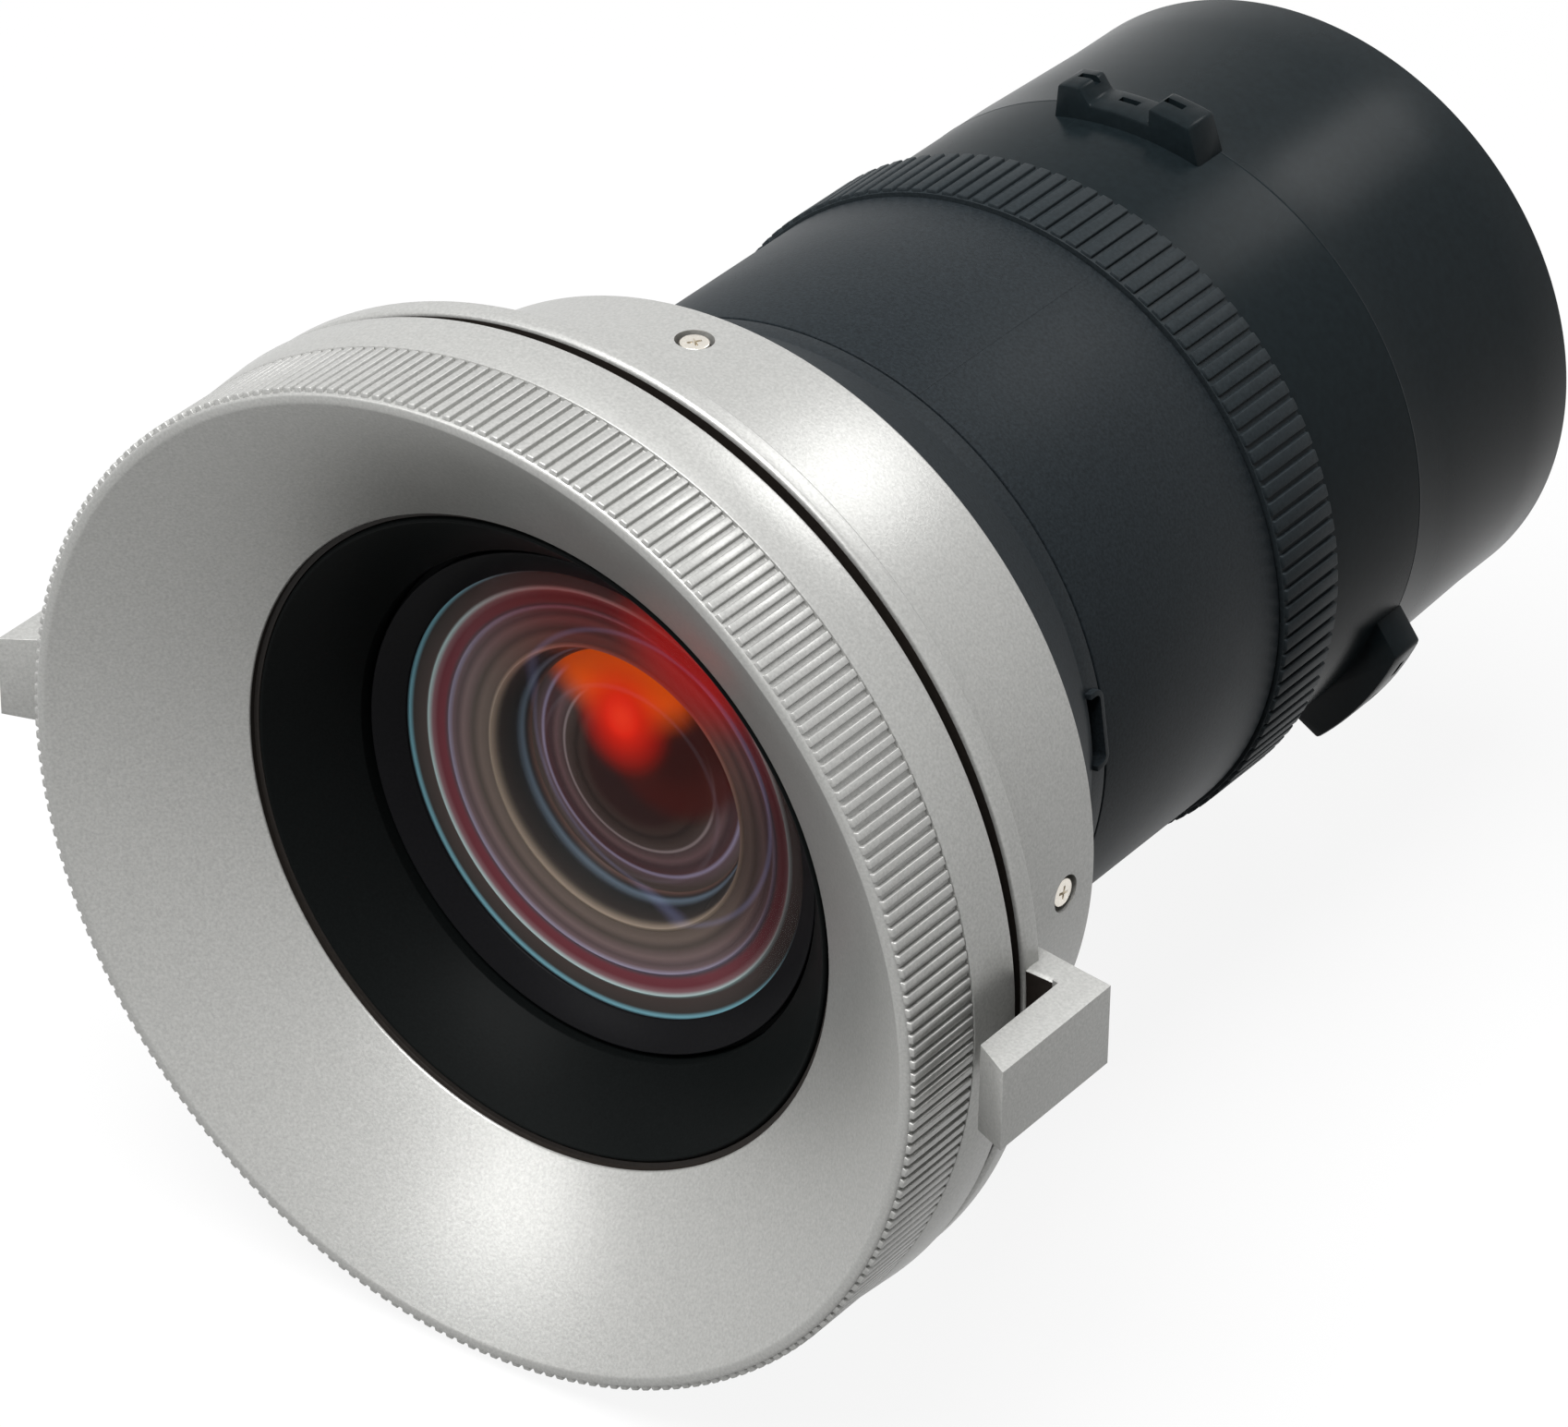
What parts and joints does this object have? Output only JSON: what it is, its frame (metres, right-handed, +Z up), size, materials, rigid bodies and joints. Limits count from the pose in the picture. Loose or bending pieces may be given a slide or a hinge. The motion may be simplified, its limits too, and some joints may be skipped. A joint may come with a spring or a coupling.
{
  "type": "projection lens",
  "caption": "Wide-angle projector zoom lens with a ribbed funnel focus ring, a zoom lever ring with finger tabs, a tapered collar, a knurled ring and a rear cover with bayonet lugs.",
  "frame": {"origin": "on the optical axis in the plane of the bayonet lugs' front faces", "axes": "+Y along the optical axis towards the rear, the front of the lens faces -Y, +Z up with one lug at the top"},
  "size_m": [0.1512, 0.1773, 0.1316],
  "materials": {
    "silver_paint": "satin metallic silver paint",
    "black_satin": "black satin anodised",
    "black_matte": "matte black anodised",
    "dark_grey": "dark grey anodised",
    "black_plastic": "semi-gloss moulded black",
    "nickel": "nickel plated",
    "brass": "turned",
    "coated_glass": "polished and coated"
  },
  "bodies": {
    "barrel": {"collar": "silver_paint", "collar_screws": "nickel", "guide_ring": "dark_grey", "lever_clip": "nickel", "hood_keys": "brass", "skirt": "black_satin", "main_barrel": "black_satin", "iris_plate": "black_matte", "rear_cover": "black_plastic", "rear_cell": "black_matte", "relay_element": "coated_glass", "rear_element": "coated_glass", "rear_retainer": "black_matte"},
    "focus_ring": {"focus_ring": "silver_paint"},
    "front_group": {"front_hood": "black_matte", "front_cell": "black_matte", "front_retainer": "dark_grey", "front_element": "coated_glass", "second_element": "coated_glass", "second_retainer": "black_matte"},
    "zoom_ring": {"lever_ring": "silver_paint", "lever_pin": "nickel", "cam_barrel": "dark_grey"},
    "zoom_group": {"zoom_cell": "black_matte", "zoom_followers": "brass", "zoom_front_element": "coated_glass", "zoom_rear_element": "coated_glass", "zoom_retainer": "black_matte"},
    "curvature_ring": {"knurled_ring": "black_satin", "knurl_pin": "nickel"},
    "compensator": {"comp_cell": "black_matte", "comp_element": "coated_glass", "comp_retainer": "black_matte"}
  },
  "joints": [
    {"name": "focus_turn", "type": "hinge", "parent": "barrel", "child": "focus_ring", "pos_m": [0, 0, 0], "axis": [0, -1, 0], "range_deg": [-55, 55]},
    {"name": "front_group_slide", "type": "slide", "parent": "barrel", "child": "front_group", "axis": [0, 1, 0], "range_m": [-0.0015, 0.0015]},
    {"name": "zoom_turn", "type": "hinge", "parent": "barrel", "child": "zoom_ring", "pos_m": [0, 0, 0], "axis": [0, -1, 0], "range_deg": [-20, 20]},
    {"name": "zoom_group_slide", "type": "slide", "parent": "barrel", "child": "zoom_group", "axis": [0, 1, 0], "range_m": [-0.005, 0.005]},
    {"name": "curvature_turn", "type": "hinge", "parent": "barrel", "child": "curvature_ring", "pos_m": [0, 0, 0], "axis": [0, -1, 0], "range_deg": [-45, 45]},
    {"name": "compensator_slide", "type": "slide", "parent": "curvature_ring", "child": "compensator", "axis": [0, 1, 0], "range_m": [-0.0015, 0.0015]}
  ],
  "couplings": [
    {"joint": "front_group_slide", "follows": "focus_turn", "m_per_rad": 0.0015626},
    {"joint": "zoom_group_slide", "follows": "zoom_turn", "m_per_rad": 0.014323},
    {"joint": "compensator_slide", "follows": "curvature_turn", "m_per_rad": 0.0019098}
  ]
}
